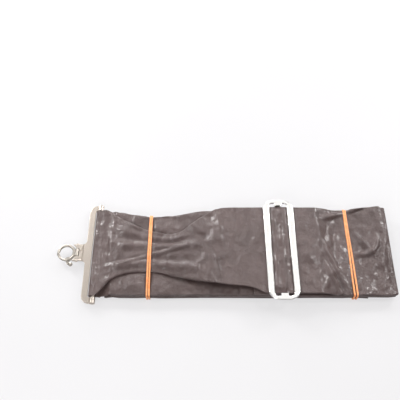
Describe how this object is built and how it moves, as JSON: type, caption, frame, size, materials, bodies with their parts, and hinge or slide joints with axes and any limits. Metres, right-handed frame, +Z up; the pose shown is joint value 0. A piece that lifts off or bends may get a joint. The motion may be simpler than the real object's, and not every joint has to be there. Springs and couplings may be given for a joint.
{
  "type": "arm sling",
  "caption": "Wide soft arm-sling strap folded into a bundle, with a swinging end fitting, a ring snap hook with a sprung gate, a sliding adjuster and rubber bands round it.",
  "frame": {"origin": "on the surface the bundle lies on, under the middle of the whole object", "axes": "+X along the bundle from the hook to the folded end, +Y across the strap, +Z up"},
  "size_m": [0.36, 0.116, 0.0205],
  "materials": {
    "strap_cloth": "soft, slightly lustrous dark brown weave",
    "strap_thread": "twisted sewing thread",
    "nickel_plate": "nickel plate, softly worn",
    "spring_steel": "bright drawn wire",
    "orange_rubber": "matt, slightly translucent"
  },
  "bodies": {
    "strap": {"sling_strap": "strap_cloth", "free_end_stitching": "strap_thread", "left_rubber_band": "orange_rubber", "right_rubber_band": "orange_rubber"},
    "slider": {"slider_frame": "nickel_plate", "slider_bar": "nickel_plate", "strap_fixed_end": "strap_cloth", "fixed_end_stitching": "strap_thread"},
    "fitting": {"fitting_frame": "nickel_plate", "fitting_bar": "nickel_plate", "hook_pin": "nickel_plate"},
    "hook": {"hook": "nickel_plate", "gate_rivet": "nickel_plate", "gate_spring": "spring_steel"},
    "gate": {"gate": "nickel_plate"}
  },
  "joints": [
    {"name": "slider_travel", "type": "slide", "parent": "strap", "child": "slider", "axis": [1, 0, 0], "range_m": [-0.04, 0.02]},
    {"name": "fitting_swing", "type": "hinge", "parent": "strap", "child": "fitting", "pos_m": [-0.1373, 0, 0.0063], "axis": [0, 1, 0], "range_deg": [-4, 90]},
    {"name": "hook_swing", "type": "hinge", "parent": "fitting", "child": "hook", "pos_m": [-0.1588, 0, 0.0063], "axis": [0, 1, 0], "range_deg": [-5, 100]},
    {"name": "gate_opening", "type": "hinge", "parent": "hook", "child": "gate", "pos_m": [-0.16783, -0.00811, 0.0063], "axis": [0, 0, 1], "range_deg": [-32, 0], "stiffness_Nm_per_rad": 0.01, "springref_deg": 14.32}
  ]
}
